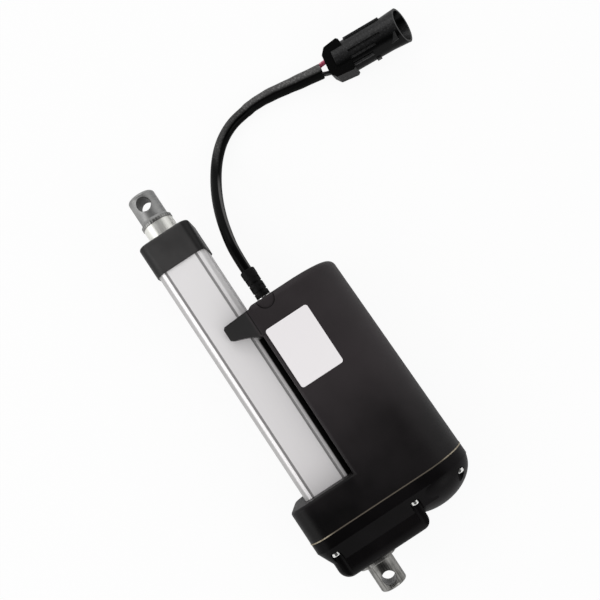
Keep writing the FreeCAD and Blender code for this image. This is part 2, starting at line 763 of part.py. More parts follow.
# --- Screw and its bearing ---------------------------------------------------------------
def make_screw():
    gear_end = gear_start + gear_width
    hub_end = gear_end + hub_length
    bearing_end = bearing_start + bearing_width
    start = bearing_start - lock_nut_length - journal_stub
    tip_start = screw_tip - tip_guide_length - tip_margin
    points = [(start, 0), (start, journal_radius), (hub_end, journal_radius),
              (hub_end, screw_radius), (tip_start, screw_radius), (tip_start, journal_radius),
              (screw_tip, journal_radius), (screw_tip, 0)]
    save("lead_screw", profile_revolved(points))
    save("screw_tip_guide", ring_x(tip_start, tip_start + tip_guide_length,
                                   extension_bore_radius - sliding_gap, journal_radius))
    save("screw_lock_nut", ring_x(bearing_start - lock_nut_length, bearing_start,
                                  journal_radius + lock_nut_wall, journal_radius))
    wheel = gear(slow_module, output_teeth, gear_start, gear_width, 0.0)
    inner, outer = web_radii
    recess = ring_x(gear_start - over, gear_start + web_depth, outer, inner)
    recess = recess.fuse(ring_x(gear_end - web_depth, gear_end + over, outer, inner))
    for k in range(web_hole_count):
        angle = 2 * math.pi * k / web_hole_count
        recess = recess.fuse(rod_x(gear_start - over, gear_end + over, web_hole_radius,
                                   web_hole_circle * math.cos(angle),
                                   web_hole_circle * math.sin(angle)))
    hub = rod_x(bearing_end, hub_end, hub_radius)
    wheel = wheel.cut(recess).fuse(hub).cut(rod_x(0, hub_end + over, journal_radius))
    save("output_gear", wheel)

    track = (bearing_radius + journal_radius) / 2 + bearing_track_shift
    groove = Part.makeTorus(track, bearing_ball_radius,
                            V(bearing_start + bearing_width / 2, 0, 0), X_DIR)
    inner = ring_x(bearing_start, bearing_end, journal_radius + bearing_inner_wall, journal_radius)
    outer = ring_x(bearing_start, bearing_end, bearing_radius, bearing_radius - bearing_outer_wall)
    save("bearing_inner_ring", inner.cut(groove))
    save("bearing_outer_ring", outer.cut(groove))
    balls = []
    for k in range(bearing_ball_count):
        angle = 2 * math.pi * k / bearing_ball_count
        balls.append(Part.makeSphere(bearing_ball_radius - bearing_ball_play,
                                     V(bearing_start + bearing_width / 2,
                                       track * math.cos(angle), track * math.sin(angle))))
    save("bearing_balls", *balls)


# --- Idler -------------------------------------------------------------------------------
def mesh_turn(teeth, toward, partner_teeth, partner_turn):
    """The turn that puts a gap opposite the partner's tooth; toward is the angle to the partner."""
    back = toward + math.pi
    phase = (back - partner_turn) * partner_teeth / (2 * math.pi)
    return toward - math.pi / teeth + (phase - round(phase)) * 2 * math.pi / teeth


def make_idler():
    to_screw = math.atan2(-idler_z, -idler_y)
    pinion_turn = mesh_turn(idler_pinion_teeth, to_screw, output_teeth, 0.0)
    start = gear_start - idler_reach
    pinion = gear(slow_module, idler_pinion_teeth, start, gear_start + gear_width - start, pinion_turn)
    wheel = gear(fast_module, idler_wheel_teeth, wheel_start, wheel_width, 0.0)
    hub = rod_x(start, plate_start - idler_air, idler_hub_radius)
    body = pinion.fuse([wheel, hub])
    body = body.cut(rod_x(0, plate_start, idler_shaft_radius + running_gap))
    body.translate(V(0, idler_y, idler_z))
    save("idler_gear", body)
    save("idler_shaft", rod_x(bearing_start + over, can_start, idler_shaft_radius, idler_y, idler_z))


# --- Motor -------------------------------------------------------------------------------
def make_motor():
    plate = rod_x(plate_start, can_start, motor_can_radius + motor_room - plate_air, motor_y)
    plate = plate.cut(rod_x(plate_start, can_start, idler_shaft_radius, idler_y, idler_z))
    plate = plate.cut(rod_x(plate_start - over, can_start + over, bush_radius, motor_y))
    plate_screws = []
    away = math.atan2(idler_z, idler_y - motor_y) + math.pi
    for k in (-1, 0, 1):
        angle = away + math.radians(plate_screw_spread * k)
        y = motor_y + plate_screw_circle * math.cos(angle)
        z = plate_screw_circle * math.sin(angle)
        plate = plate.cut(rod_x(plate_start - over, can_start + over, screw_shank_radius, y, z))
        screw = rod_x(plate_start - plate_head_height, plate_start, screw_head_radius, y, z)
        plate_screws.append(screw.fuse(rod_x(plate_start - bond, can_start + motor_can_wall,
                                             screw_shank_radius, y, z)))
    save("gearbox_plate", plate)
    save("gearbox_plate_screws", *plate_screws)

    inside = motor_can_radius - motor_can_wall
    can = ring_x(can_start, can_end, motor_can_radius, inside, motor_y)
    bottom = ring_x(can_start, can_start + motor_can_wall, motor_can_radius, bush_radius, motor_y)
    for screw in plate_screws:
        bottom = bottom.cut(screw)
    save("motor_can", can.fuse(bottom).removeSplitter())
    rear_bush = ring_x(plate_start, plate_start + bush_length, bush_radius,
                       motor_shaft_radius + running_gap, motor_y)
    front_bush = ring_x(can_end - bush_length, can_end, bush_radius,
                        motor_shaft_radius + running_gap, motor_y)
    save("motor_bushes", rear_bush, front_bush)
    brush_plate = ring_x(can_end - brush_plate_thickness, can_end, inside, bush_radius, motor_y)
    save("brush_plate", brush_plate)

    magnet_ring = ring_x(core_start - magnet_overlap, core_end + magnet_overlap, inside,
                         inside - magnet_thickness, motor_y)
    gap = block((can_start, can_end), (motor_y - inside, motor_y + inside),
                (-magnet_gap / 2, magnet_gap / 2))
    save("motor_magnets", *magnet_ring.cut(gap).Solids)
    core = rod_x(core_start, core_end, armature_radius)
    for k in range(armature_slot_count):
        slot = block((core_start - over, core_end + over),
                     (armature_radius - armature_slot_depth, armature_radius + over),
                     (-armature_slot_width / 2, armature_slot_width / 2))
        slot.rotate(V(0, 0, 0), X_DIR, 360 * k / armature_slot_count)
        core = core.cut(slot)
    core = core.cut(rod_x(can_start, can_end, motor_shaft_radius))
    core.translate(V(0, motor_y, 0))
    save("armature_core", core)
    rolls = [ring_x(start, start + winding_length, armature_radius - winding_step,
                    motor_shaft_radius, motor_y)
             for start in (core_start - winding_length, core_end)]
    save("armature_windings", *rolls)
    save("commutator", ring_x(commutator_start, commutator_start + commutator_length,
                              commutator_radius, motor_shaft_radius, motor_y))
    brushes = []
    for side in (-1, 1):
        near = commutator_radius + brush_air
        low, high = sorted((side * near, side * (near + brush_height)))
        brushes.append(block((commutator_start + brush_setback, can_end - brush_plate_thickness),
                             (motor_y - brush_width / 2, motor_y + brush_width / 2), (low, high)))
    save("motor_brushes", *brushes)
    save("motor_shaft", rod_x(wheel_start - 2 * motor_pinion_reach, can_end + 2 * over,
                              motor_shaft_radius, motor_y))

    to_idler = math.atan2(idler_z, idler_y - motor_y)
    turn = mesh_turn(motor_pinion_teeth, to_idler, idler_wheel_teeth, 0.0)
    pinion = gear(fast_module, motor_pinion_teeth, wheel_start - motor_pinion_reach,
                  wheel_width + 2 * motor_pinion_reach, turn)
    pinion = pinion.cut(rod_x(gear_start, plate_start, motor_shaft_radius))
    pinion.translate(V(0, motor_y, 0))
    save("motor_pinion", pinion)


# --- Cable and connector -----------------------------------------------------------------
def route_wire(points):
    """Straight runs joined by tangent arcs, each as large as its two runs allow."""
    edges = []
    radii = []
    here = points[0]
    for before, corner, after in zip(points, points[1:], points[2:]):
        back = before - corner
        ahead = after - corner
        shorter = min(back.Length, ahead.Length)
        back.normalize()
        ahead.normalize()
        half = back.getAngle(ahead) / 2
        radius = 0.45 * shorter / math.tan(math.pi / 2 - half)
        radii.append(radius)
        reach = 0.45 * shorter
        middle = back + ahead
        middle.normalize()
        nearest = corner + middle * (radius / math.sin(half) - radius)
        edges.append(Part.makeLine(here, corner + back * reach))
        edges.append(Part.Arc(corner + back * reach, nearest, corner + ahead * reach).toShape())
        here = corner + ahead * reach
    edges.append(Part.makeLine(here, points[-1]))
    return Part.Wire(edges), radii


def tube_along(name, points, radius):
    path, radii = route_wire(points)
    circle = Part.Wire(Part.makeCircle(radius, points[0], points[1] - points[0]))
    tube = path.makePipeShell([circle], True, False)
    expected = math.pi * radius ** 2 * path.Length
    print(name, "length %.1f" % path.Length, "volume ratio %.4f" % (tube.Volume / expected),
          "radii", " ".join("%.0f" % r for r in radii))
    save(name, tube)


def make_cable():
    rest_z = floor_z + sleeve_radius + rest_gap
    cable = [V(gland_end, gland_y, gland_z)] + [V(*p) for p in cable_drop]
    cable += [V(x, y, rest_z) for x, y in cable_lying]
    sleeve = [V(x, y, rest_z) for x, y in sleeve_lying] + [V(*p) for p in sleeve_rise]
    tube_along("cable", cable, cable_radius)
    tube_along("cable_sleeve", sleeve, sleeve_radius)


def make_strain_relief():
    collar_start = gland_end - gland_collar_length
    body = rod_x(collar_start, gland_end, gland_collar_radius, gland_y, gland_z)
    ends = edges_at_x(body, collar_start) + edges_at_x(body, gland_end)
    body = body.makeFillet(gland_edge_round, ends)
    body = body.fuse(rod_x(front_wall_start, collar_start + bond, gland_radius, gland_y, gland_z))
    body = body.fuse(rod_x(front_wall_start - gland_flange_thickness, front_wall_start,
                           gland_flange_radius, gland_y, gland_z))
    pitch = (collar_start - cover_end) / (gland_rib_count + 1)
    for k in range(1, gland_rib_count + 1):
        start = cover_end + pitch * k
        body = body.cut(ring_x(start, start + gland_rib_width, gland_radius + over,
                               gland_radius - gland_rib_depth, gland_y, gland_z))
    save("strain_relief", body)


def placed(shape):
    """Turns a connector piece from its own frame, mouth along +X, to where it lies: on the
    rear lower edge of the lock, with its mouth up."""
    height = (connector_half_height - lock_step) * math.cos(math.radians(connector_pitch))
    shape.rotate(V(0, 0, 0), V(0, 1, 0), -connector_pitch)
    shape.rotate(V(0, 0, 0), Z_DIR, connector_turn)
    shape.translate(V(connector_rear[0], connector_rear[1], floor_z + height + rest_gap))
    return shape


def oval_loft(start, end, width_start, width_end, inset):
    height = connector_half_height - inset
    wires = [Part.Wire(Part.Ellipse(V(x, width - inset, 0), V(x, 0, height), V(x, 0, 0)).toShape())
             for x, width in ((start, width_start), (end, width_end))]
    return Part.makeLoft(wires, True, True)


def make_connector():
    body = oval_loft(connector_start, mouth_start, connector_half_width, connector_half_width, 0.0)
    flare = oval_loft(mouth_start, connector_length, connector_half_width, mouth_half_width, 0.0)
    body = body.fuse(flare)
    body = body.cut(oval_loft(mouth_floor, mouth_start, connector_half_width,
                              connector_half_width, mouth_wall))
    body = body.cut(oval_loft(mouth_start, connector_length + over, connector_half_width,
                              mouth_half_width, mouth_wall))
    half = connector_half_height
    beyond_mouth = connector_length + mouth_slant
    slant = [(connector_length, -half), (beyond_mouth, -half), (beyond_mouth, half + over),
             (connector_length - mouth_slant, half + over)]
    body = body.cut(prism(Part.makePolygon([V(x, -connector_length, z) for x, z in slant + slant[:1]]),
                          V(0, 2 * connector_length, 0)))
    lock_end = lock_length + lock_hook
    for end, *sides in mould_grooves:
        body = body.cut(block((lock_end, end), sides, (half - mould_groove_depth, half + over)))
    rails = [block((lock_end, end), sides, heights)
             for end, sides, heights in zip(rail_ends, rail_sides, rail_heights)]
    lug = block(side_lug, (-side_lug_reach, over - connector_half_width), (-side_lug_half, side_lug_half))
    low, high = ramp_heights
    slope = [(ramp_start, low), (ramp_top, high), (ramp_end, low)]
    ramp = prism(Part.makePolygon([V(x, ramp_sides[0], z) for x, z in slope + slope[:1]]),
                 V(0, ramp_sides[1] - ramp_sides[0], 0))
    hollow = oval_loft(mouth_floor, mouth_start, connector_half_width, connector_half_width, mouth_wall)
    hollow = hollow.fuse(oval_loft(mouth_start, connector_length, connector_half_width,
                                   mouth_half_width, mouth_wall))
    body = body.fuse([piece.cut(hollow) for piece in rails + [lug, ramp]])
    for y in (-wire_spread, wire_spread):
        body = body.cut(rod_x(0, connector_start + seal_bore_depth, seal_radius, y))
        body = body.cut(block((0, mouth_floor + over), (y - terminal_width / 2, y + terminal_width / 2),
                              (-terminal_slot / 2, terminal_slot / 2)))
    save("connector_shell", placed(body))

    shoulder, shoulder_half = lock_shoulder
    outline = [(0, -lock_rear_half, lock_corner), (shoulder, -shoulder_half, lock_corner),
               (lock_length, -lock_half_width, lock_hook_corner),
               (lock_end, -lock_foot, lock_hook_corner),
               (lock_end - lock_short, lock_foot, lock_hook_corner),
               (lock_length - lock_short, lock_half_width, lock_hook_corner),
               (shoulder, shoulder_half, lock_corner), (0, lock_rear_half, lock_corner)]
    low = lock_step - half
    lock = prism(rounded_wire(outline, at_z(low)), V(0, 0, -2 * low))
    lock = lock.cut(oval_loft(connector_start, lock_end + over, connector_half_width,
                              connector_half_width, 0.0))
    for y in (-wire_spread, wire_spread):
        lock = lock.cut(rod_x(-over, connector_start + over, seal_radius, y))
    save("connector_lock", placed(lock))

    seals = []
    blades = []
    seal_end = connector_start + seal_depth
    for y in (-wire_spread, wire_spread):
        seals.append(placed(rod_x(seal_start, seal_end, seal_radius, y)))
        blades.append(placed(block((seal_end, mouth_floor + terminal_length),
                                   (y - terminal_width / 2, y + terminal_width / 2),
                                   (-terminal_thickness / 2, terminal_thickness / 2))))
    save("wire_seals", *seals)
    save("connector_terminals", *blades)

    tail = V(*sleeve_rise[-1])
    forward = tail - V(*sleeve_rise[-2])
    forward.normalize()
    for name, side in (("wire_red", 1), ("wire_black", -1)):
        start = tail + V(side * wire_gather, 0, 0) + forward * wire_gaps[0]
        stub = placed(Part.Vertex(seal_start - wire_gaps[1], side * wire_spread, 0)).Point
        save(name, Part.makeCylinder(wire_radius, (stub - start).Length, start, stub - start))


make_rear_eye()
make_rear_cover()
make_gasket()
make_cover_screws()
make_front_housing()
make_label()
make_outer_tube()
make_switches()
make_front_cap()
make_rod()
make_screw()
make_idler()
make_motor()
make_strain_relief()
make_cable()
make_connector()
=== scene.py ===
import math

import bpy
from mathutils import Matrix, Vector


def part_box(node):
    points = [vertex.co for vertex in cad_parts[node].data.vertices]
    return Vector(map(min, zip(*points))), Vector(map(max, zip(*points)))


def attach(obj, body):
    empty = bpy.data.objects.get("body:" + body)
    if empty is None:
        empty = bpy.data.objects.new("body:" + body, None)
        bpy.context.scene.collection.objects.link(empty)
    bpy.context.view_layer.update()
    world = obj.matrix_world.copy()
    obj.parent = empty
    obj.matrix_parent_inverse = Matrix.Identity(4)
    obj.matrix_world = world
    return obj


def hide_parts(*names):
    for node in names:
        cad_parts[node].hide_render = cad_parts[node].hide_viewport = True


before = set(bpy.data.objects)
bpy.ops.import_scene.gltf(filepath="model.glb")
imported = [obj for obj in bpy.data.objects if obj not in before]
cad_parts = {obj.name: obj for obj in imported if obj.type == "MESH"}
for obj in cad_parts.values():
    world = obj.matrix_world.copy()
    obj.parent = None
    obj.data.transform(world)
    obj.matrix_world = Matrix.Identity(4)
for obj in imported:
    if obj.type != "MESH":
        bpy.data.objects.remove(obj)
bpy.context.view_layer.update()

# --- Camera ------------------------------------------------------------------------------
# The actuator lies flat, label up, and the camera hangs over it and looks straight down.
# The frame is turned so that the rod points to the upper left.
camera_turn = math.radians(33.35)
camera_place = (0.1343, -0.0475, 0.577)
camera_lens = 49.2
camera_shift = (-0.0667, 0.13)
camera_sensor = 36

across = Vector((-math.sin(camera_turn), -math.cos(camera_turn), 0))
upward = Vector((math.cos(camera_turn), -math.sin(camera_turn), 0))
bpy.ops.object.camera_add(location=camera_place)
camera = bpy.context.object
camera.rotation_euler = Matrix((across, upward, across.cross(upward))).transposed().to_euler()
camera.data.sensor_width = camera_sensor
camera.data.lens = camera_lens
camera.data.shift_x, camera.data.shift_y = camera_shift
bpy.context.scene.camera = camera
bpy.context.scene.view_settings.view_transform = "Standard"


# --- Supply cable ------------------------------------------------------------------------
# A round two-core cable with a black PVC jacket, 208 mm from the strain relief to its end.
# It leaves the cover straight, sags to the table and bends round to its connector, and the
# jacket swells on the way. Towards the connector, the side facing up and to the rod's end has
# pale grains of dust and painted sheen, and near the cover a thin streak is a painted highlight.
cable_diameter = 0.0076
cable_swell = 1.16
swollen_point = 9
painted_sheen_way = Vector((0.75, 0.15, 0.64))
painted_streak_way = Vector((0.20, -0.80, 0.56))
dust_and_sheen_start = -0.054
dust_and_sheen_full = -0.066
cable_exit = (0.2294, -0.0348, 0.0240)
cable_route = [cable_exit, (0.2435, -0.0348, 0.0240), (0.2575, -0.0368, 0.0195),
               (0.2725, -0.0399, 0.0095), (0.2890, -0.0450, -0.0035), (0.3045, -0.0519, -0.0160),
               (0.3180, -0.0603, -0.0248), (0.3286, -0.0710, -0.0281), (0.3351, -0.0842, -0.02845),
               (0.3370, -0.0970, -0.02845), (0.3381, -0.1045, -0.02845), (0.3376, -0.1180, -0.02845),
               (0.3354, -0.1315, -0.02845), (0.3329, -0.1448, -0.0274), (0.3309, -0.1545, -0.0257)]


class Signal:
    """An output socket of a node tree; sums and products of signals add their own nodes."""

    def __init__(self, tree, socket=None):
        self.tree, self.socket = tree, socket

    def node(self, kind, settings=None, sockets=None, out=0):
        """Adds a node: its settings first, then the values or links of its sockets."""
        node = self.tree.nodes.new("ShaderNode" + kind)
        for name, value in (settings or {}).items():
            setattr(node, name, value)
        for name, value in (sockets or {}).items():
            socket = node.inputs[name]
            if isinstance(value, Signal):
                self.tree.links.new(value.socket, socket)
            elif socket.type == "RGBA":
                socket.default_value = (*value[:3], 1)
            else:
                socket.default_value = value
        return Signal(self.tree, node.outputs[out])

    def maths(self, operation, other=0.0):
        return self.node("Math", {"operation": operation}, {0: self, 1: other})

    def __add__(self, other):
        return self.maths("ADD", other)

    def __mul__(self, other):
        return self.maths("MULTIPLY", other)

    def __sub__(self, other):
        return self.maths("SUBTRACT", other)

    def __rsub__(self, other):
        return self * -1 + other

    def __abs__(self):
        return self.maths("ABSOLUTE")

    __radd__ = __add__
    __rmul__ = __mul__

    def colours(self, first, second):
        """From one colour to another, each plain or a signal, as this one goes from 0 to 1."""
        return self.node("Mix", {"data_type": "RGBA"}, {0: self, 6: first, 7: second}, 2)

    def noise(self, scale, stretch=(1, 1, 1), detail=3.0, rough=0.5):
        """Noise on this place, drawn out along an axis where its stretch is small."""
        place = self.node("Mapping", None, {"Vector": self, "Scale": stretch})
        return self.node("TexNoise", None, {"Vector": place, "Scale": scale, "Detail": detail,
                                            "Roughness": rough})

    def steps(self, low, high):
        """This signal between two limits, spread over 0 to 1."""
        return self.node("MapRange", {"interpolation_type": "SMOOTHSTEP"},
                         {"Value": self, "From Min": low, "From Max": high})

    def towards(self, way):
        """How far this direction points along another one."""
        return self.node("VectorMath", {"operation": "DOT_PRODUCT"}, {0: self, 1: way}, "Value")

    def part(self, axis):
        return self.node("SeparateXYZ", None, {"Vector": self}, axis)

    def feeds(self, shader, name):
        self.tree.links.new(self.socket, shader.inputs[name])

    def bumps(self, shader, strength, depth):
        """This signal as relief: depth is its height in metres."""
        self.node("Bump", None, {"Strength": strength, "Distance": depth,
                                 "Height": self}).feeds(shader, "Normal")


def new_finish(name, plain):
    """A material, its shader with the values that are the same all over, and the place."""
    material = bpy.data.materials.new(name)
    material.use_nodes = True
    shader = material.node_tree.nodes["Principled BSDF"]
    for socket, value in plain.items():
        shader.inputs[socket].default_value = value
    return material, shader, Signal(material.node_tree).node("TexCoord", out="Object")


def facing(place, way):
    """How far the skin of the piece faces this way, from -1 to 1."""
    return Signal(place.tree).node("NewGeometry", out="Normal").towards(way)


def dust_and_painted_sheen_on(place, way):
    """Pale grains where the skin of a piece faces this way: dust, and a painted sheen on that side.
    """
    faces = facing(place, way).steps(0.35, 0.80)
    grain = place.noise(700, detail=5.0, rough=0.75).steps(0.46, 0.74)
    return faces * (0.30 + grain * 0.7)


jacket, shader, place = new_finish("black cable jacket", {"Specular IOR Level": 0.04})
cloud = place.noise(60, detail=2.0)
# Pale grains on the half towards the connector: dust, and a painted sheen on the side facing one
# way.
pale_grains = dust_and_painted_sheen_on(place, painted_sheen_way) * (0.03 + place.part("Y").steps(dust_and_sheen_start, dust_and_sheen_full) * 0.97)
# A thin streak along the part near the cover, where the skin faces one way: a painted highlight.
painted_sheen = (facing(place, painted_streak_way).steps(0.95, 0.985) * (0.5 + cloud * 0.5)
          * place.part("Y").steps(dust_and_sheen_start - 0.002, dust_and_sheen_start + 0.004))
(pale_grains + painted_sheen * 0.9).colours((0.0010, 0.0010, 0.0010), (0.150, 0.147, 0.145)).feeds(
    shader, "Base Color")
(0.18 + cloud * 0.14 + pale_grains * 0.25).feeds(shader, "Roughness")
(place.noise(900, detail=2.0) + cloud * 3.0).bumps(shader, 0.35, 0.00006)


def smooth_line(name, spots, steps):
    """A curve drawn smoothly along a few spots, and the points it passes through."""
    line = bpy.data.curves.new(name, "CURVE")
    line.dimensions = "3D"
    line.resolution_u = steps
    spline = line.splines.new("NURBS")
    spline.points.add(len(spots) - 1)
    for point, spot in zip(spline.points, spots):
        point.co = (*spot, 1)
    spline.order_u = 3
    spline.use_endpoint_u = True
    piece = bpy.data.objects.new(name, line)
    bpy.context.collection.objects.link(piece)
    return piece, [v.co.copy() for v in bpy.data.meshes.new_from_object(piece).vertices]


cable, cable_path = smooth_line("supply_cable", cable_route, 16)
for i, point in enumerate(cable.data.splines[0].points):
    point.radius = 1 + (cable_swell - 1) * min(i / swollen_point, 1)
cable.data.bevel_depth = cable_diameter / 2
cable.data.bevel_resolution = 9
cable.data.use_fill_caps = True
cable.data.materials.append(jacket)
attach(cable, "housing")
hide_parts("cable")


# --- Cable sleeve ------------------------------------------------------------------------
# A soft black sleeve over the last 60 mm of the cable, slightly creased along its length.
# It is pushed on, and ends in an open mouth from which the two wires come.
sleeve_start = 0.150
sleeve_past_cable = 6
sleeve_first, sleeve_last = 0.0045, 0.0056
sleeve_rounding = 0.0002
sleeve_wall = 0.0007
sleeve_mouth_depth = 0.006
crease_depth = 0.00012

sleeve_finish, shader, place = new_finish("black sleeve", {"Specular IOR Level": 0.05})
cloud = place.noise(90, detail=3.0)
# Pale grains on the side facing one way: dust, and a painted sheen on that side.
dust_and_painted_sheen_on(place, painted_sheen_way).colours((0.0018, 0.0018, 0.0017), (0.260, 0.255, 0.252)).feeds(
    shader, "Base Color")
(0.34 + cloud * 0.22).feeds(shader, "Roughness")
(place.noise(520, detail=4.0) + cloud * 2.0).bumps(shader, 0.7, 0.00012)


def tube_rings(path, radii, sides=32):
    """Rings of points about a path, each with its own radius, kept from twisting."""
    rings = []
    side = Vector((0, 0, 1))
    for i, (point, radius) in enumerate(zip(path, radii)):
        ahead = (path[min(i + 1, len(path) - 1)] - path[max(i - 1, 0)]).normalized()
        side = (side - ahead * side.dot(ahead)).normalized()
        other = ahead.cross(side)
        rings.append([point + radius * (math.cos(a) * side + math.sin(a) * other)
                      for a in (math.tau * k / sides for k in range(sides))])
    return rings


def new_piece(name, points, edges, faces, material):
    """A mesh of these points, left open in edit mode with all of it selected."""
    mesh = bpy.data.meshes.new(name)
    mesh.from_pydata(points, edges, faces)
    mesh.materials.append(material)
    piece = bpy.data.objects.new(name, mesh)
    bpy.context.collection.objects.link(piece)
    bpy.ops.object.select_all(action="DESELECT")
    piece.select_set(True)
    bpy.context.view_layer.objects.active = piece
    bpy.ops.object.mode_set(mode="EDIT")
    bpy.ops.mesh.select_all(action="SELECT")
    return piece


def skin_rings(name, rings, material):
    """A closed tube over a row of rings, with a fan on its first and last ring."""
    sides = len(rings[0])
    points = [p for ring in rings for p in ring]
    faces = []
    for i in range(len(rings) - 1):
        for k in range(sides):
            a, b = i * sides + k, i * sides + (k + 1) % sides
            faces.append((a, b, b + sides, a + sides))
    points += [sum(ring, Vector()) / sides for ring in (rings[0], rings[-1])]
    last = (len(rings) - 1) * sides
    for k in range(sides):
        following = (k + 1) % sides
        faces.append((len(points) - 2, following, k))
        faces.append((len(points) - 1, last + k, last + following))
    piece = new_piece(name, points, [], faces, material)
    bpy.ops.mesh.normals_make_consistent(inside=False)
    bpy.ops.object.mode_set(mode="OBJECT")
    bpy.ops.object.shade_smooth_by_angle(angle=math.radians(50))
    return piece


cable_end = cable_path[-1]
mouth_way = (cable_end - cable_path[-2]).normalized()
passed = 0.0
sleeve_path = []
for before, after in zip(cable_path, cable_path[1:]):
    passed += (after - before).length
    if passed > sleeve_start:
        sleeve_path.append(after)
sleeve_path += [cable_end + mouth_way * 0.001 * k for k in range(1, sleeve_past_cable + 1)]
sleeve_end = sleeve_path[-1]

radii = []
for i in range(len(sleeve_path)):
    share = i / (len(sleeve_path) - 1)
    crease = crease_depth * math.sin(26 * share) * math.sin(9 * share + 1)
    radii.append(sleeve_first + (sleeve_last - sleeve_first) * share ** 1.5 + crease)
radii[0] -= sleeve_rounding
radii[-1] -= sleeve_rounding
rings = tube_rings(sleeve_path, radii)
rim = rings[-1]
for depth, radius in ((0.0, radii[-1] - sleeve_wall),
                      (sleeve_mouth_depth / 2, radii[-1] - sleeve_wall * 1.1),
                      (sleeve_mouth_depth, radii[-1] - sleeve_wall * 1.2),
                      (sleeve_mouth_depth + 0.0001, 0.0004)):
    middle = sleeve_end - mouth_way * depth
    rings.append([middle + (p - sleeve_end).normalized() * radius for p in rim])
sleeve = skin_rings("cable_sleeve_open", rings, sleeve_finish)
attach(sleeve, "housing")
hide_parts("cable_sleeve")


# --- Wires -------------------------------------------------------------------------------
# The cable's two cores, PVC-insulated stranded copper in red and black. They spread from
# the mouth of the sleeve to the two seals at the back of the connector.
wire_radius = 0.0017
wire_from_end = Vector((0.0010, -0.0020, 0.0004))
wire_into_seal = Vector((0.0013, -0.0008, -0.0017))
wire_bow = Vector((0.0006, 0.0010, 0.0006))
wire_colours = {"red": ((0.42, 0.025, 0.080), (0.75, 0.18, 0.28)),
                "black": ((0.006, 0.006, 0.006), (0.020, 0.020, 0.020))}

for colour, node in (("red", "wire_red"), ("black", "wire_black")):
    insulation, shader, place = new_finish(colour + " wire insulation", {"Specular IOR Level": 0.6})
    cloud = place.noise(350, detail=3.0)
    cloud.steps(0.3, 0.75).colours(*wire_colours[colour]).feeds(shader, "Base Color")
    (0.22 + cloud * 0.2).feeds(shader, "Roughness")
    cloud.bumps(shader, 0.3, 0.0001)
    low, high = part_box(node)
    apart = Vector((1 if colour == "red" else -1, 1, 1))
    start = cable_end + wire_from_end * apart
    seal = Vector(((low[0] + high[0]) / 2, low[1], high[2])) + wire_into_seal * apart
    middle = (start + seal) / 2 + wire_bow * apart
    bend = (start - seal) * 0.2
    guide, path = smooth_line(node + "_guide", (start, middle + bend, middle - bend, seal), 10)
    bpy.data.objects.remove(guide)
    wire = skin_rings("wire_%s_insulated" % colour,
                      tube_rings(path, [wire_radius] * len(path), 20), insulation)
    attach(wire, "housing")
    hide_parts(node)


# --- Connector ---------------------------------------------------------------------------
# A two-way male connector in black PBT: a glossy shell with a flared shroud, a duller lock
# pushed over its rear end, two rubber seals for the wires and two tinned blades.
def dress(material, *names):
    """Gives this material to nodes of the frame."""
    for name in names:
        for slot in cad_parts[name].material_slots:
            slot.material = material


shell_plastic, shader, place = new_finish("glossy black connector plastic",
                                          {"Specular IOR Level": 0.13})
specks = place.noise(1400, detail=6.0, rough=0.8).steps(0.60, 0.78)
# Pale grains on the side facing one way are dust and a painted sheen; fine specks all over are dust.
pale_grains = dust_and_painted_sheen_on(place, painted_sheen_way) * 0.75 + specks * 0.25
cloud = place.noise(130, detail=2.0)
pale_grains.colours((0.0015, 0.0015, 0.0016), (0.075, 0.075, 0.076)).feeds(shader, "Base Color")
(0.18 + cloud * 0.14 + specks * 0.25).feeds(shader, "Roughness")
(place.noise(1500, detail=2.0) * 0.5 + cloud * 2.0).bumps(shader, 0.4, 0.00006)
dress(shell_plastic, "connector_shell")

lock_plastic, shader, place = new_finish("dull black connector lock", {"Specular IOR Level": 0.06})
pale_grains = place.noise(1400, detail=6.0, rough=0.8).steps(0.60, 0.78)
pale_grains.colours((0.0030, 0.0030, 0.0031), (0.040, 0.040, 0.041)).feeds(shader, "Base Color")
(0.32 + pale_grains * 0.25).feeds(shader, "Roughness")
place.noise(1500, detail=2.0).bumps(shader, 0.4, 0.00004)
dress(lock_plastic, "connector_lock")

seal_rubber, shader, place = new_finish("dark green seal rubber", {"Roughness": 0.55})
place.noise(500).colours((0.010, 0.030, 0.018), (0.020, 0.060, 0.034)).feeds(shader, "Base Color")
place.noise(900).bumps(shader, 0.4, 0.0001)
dress(seal_rubber, "wire_seals")

tin, shader, place = new_finish("tinned brass blades", {"Metallic": 1.0})
streak = place.noise(900, (0.2, 1, 1))
streak.colours((0.55, 0.54, 0.50), (0.78, 0.77, 0.74)).feeds(shader, "Base Color")
(0.25 + streak * 0.2).feeds(shader, "Roughness")
dress(tin, "connector_terminals")


# --- Table and lamps ---------------------------------------------------------------------
# A white table with a soft shadow in a white room. The strongest of three soft lamps stands
# beside the tube, the others behind the rear eye and beyond the rod. A dark grey card hangs
# over the camera, where the black gloss reflects it.
room_middle = Vector((0.15, -0.05, 0))
table_size = 6.0
table_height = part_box("front_housing")[0][2] - 0.0002
table_glow = 0.92
card_size = 3.4
card_height = 1.7
room_light = 0.66
lamps = (((0.35, 1.15, 0.95), 0.8, 4.8), ((-1.00, -0.75, 0.80), 0.7, 3.0),
         ((1.35, -0.30, 0.85), 0.7, 2.4))

bpy.ops.mesh.primitive_plane_add(size=table_size,
                                 location=room_middle + Vector((0, 0, table_height)))
table = bpy.context.object
table.name = "table"
table_white, shader, place = new_finish("white table", {"Roughness": 0.7,
                                                        "Specular IOR Level": 0.2})
place.noise(4.0).colours((0.90, 0.90, 0.90), (0.93, 0.93, 0.93)).feeds(shader, "Base Color")
tree = table_white.node_tree
glow = Signal(tree).node("Emission", None, {"Color": (1, 1, 1), "Strength": 1.0})
rays = Signal(tree).node("LightPath", out="Is Camera Ray")
shaded = Signal(tree, shader.outputs[0])
mixed = rays.node("MixShader", None, {0: rays * table_glow, 1: shaded, 2: glow})
tree.links.new(mixed.socket, tree.nodes["Material Output"].inputs["Surface"])
table.data.materials.append(table_white)

